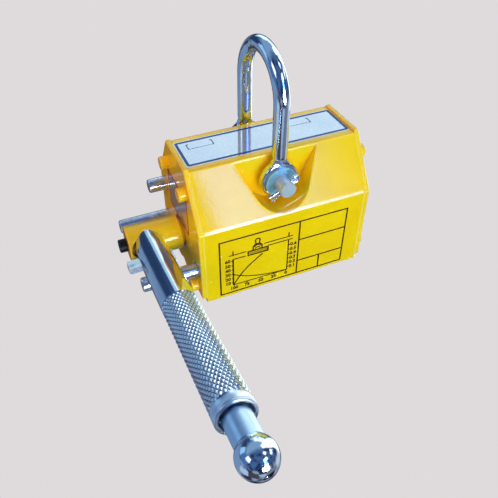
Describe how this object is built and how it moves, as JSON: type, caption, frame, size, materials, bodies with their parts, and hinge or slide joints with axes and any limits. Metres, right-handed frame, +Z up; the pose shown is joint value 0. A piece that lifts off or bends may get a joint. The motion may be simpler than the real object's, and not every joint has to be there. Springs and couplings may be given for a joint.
{
  "type": "permanent magnetic lifter",
  "caption": "Hand-operated permanent magnetic lifter: a painted steel block with sloping shoulders, a swinging shackle to hang it by and a side lever with a push-button lock.",
  "frame": {"origin": "middle of the pole faces, on the lifter's underside, midway along its length", "axes": "+X along the body towards the end without the handle, -Y the front that the handle rests over, +Z up"},
  "size_m": [0.1294, 0.1798, 0.121],
  "materials": {
    "yellow_paint": "semi-gloss yellow paint",
    "zinc_steel": "zinc plated",
    "chrome": "bright plated",
    "black_oxide": "black oxide",
    "bare_steel": "turned",
    "magnet": "nickel plated sintered magnet",
    "brass": "turned"
  },
  "bodies": {
    "lifter_body": {"front_yoke": "yellow_paint", "rear_yoke": "yellow_paint", "top_spacer": "yellow_paint", "bottom_spacer": "brass", "fixed_magnets": "magnet", "handle_end_plate": "yellow_paint", "far_end_plate": "yellow_paint", "handle_end_screws": "yellow_paint", "far_end_screws": "yellow_paint", "front_stop_pin": "zinc_steel", "rear_stop_pin": "zinc_steel", "lock_pin": "zinc_steel", "handle_end_bush": "brass", "far_end_bush": "brass", "cross_pin": "zinc_steel", "front_washer": "zinc_steel", "rear_washer": "zinc_steel", "front_split_pin": "zinc_steel", "rear_split_pin": "zinc_steel"},
    "handle": {"rotor_front_pole": "bare_steel", "rotor_rear_pole": "bare_steel", "rotor_magnets": "magnet", "drive_hub": "yellow_paint", "far_journal": "bare_steel", "drive_flange_screws": "bare_steel", "far_flange_screws": "bare_steel", "hub_screw": "black_oxide", "handle_tube": "chrome", "return_spring": "bare_steel"},
    "push_button": {"push_rod": "chrome", "safety_key": "chrome"},
    "shackle": {"shackle": "chrome"}
  },
  "joints": [
    {"name": "handle_turn", "type": "hinge", "parent": "lifter_body", "child": "handle", "pos_m": [-0.065, 0, 0.0255], "axis": [-1, 0, 0], "range_deg": [0, 157.7]},
    {"name": "button_push", "type": "slide", "parent": "handle", "child": "push_button", "axis": [0, 0.9812, -0.1932], "range_m": [0, 0.005], "stiffness_N_per_m": 600, "springref_m": -0.003, "deforming": ["return_spring"]},
    {"name": "shackle_swing", "type": "hinge", "parent": "lifter_body", "child": "shackle", "pos_m": [0, 0, 0.059], "axis": [0, 1, 0], "range_deg": [-56, 56]}
  ]
}
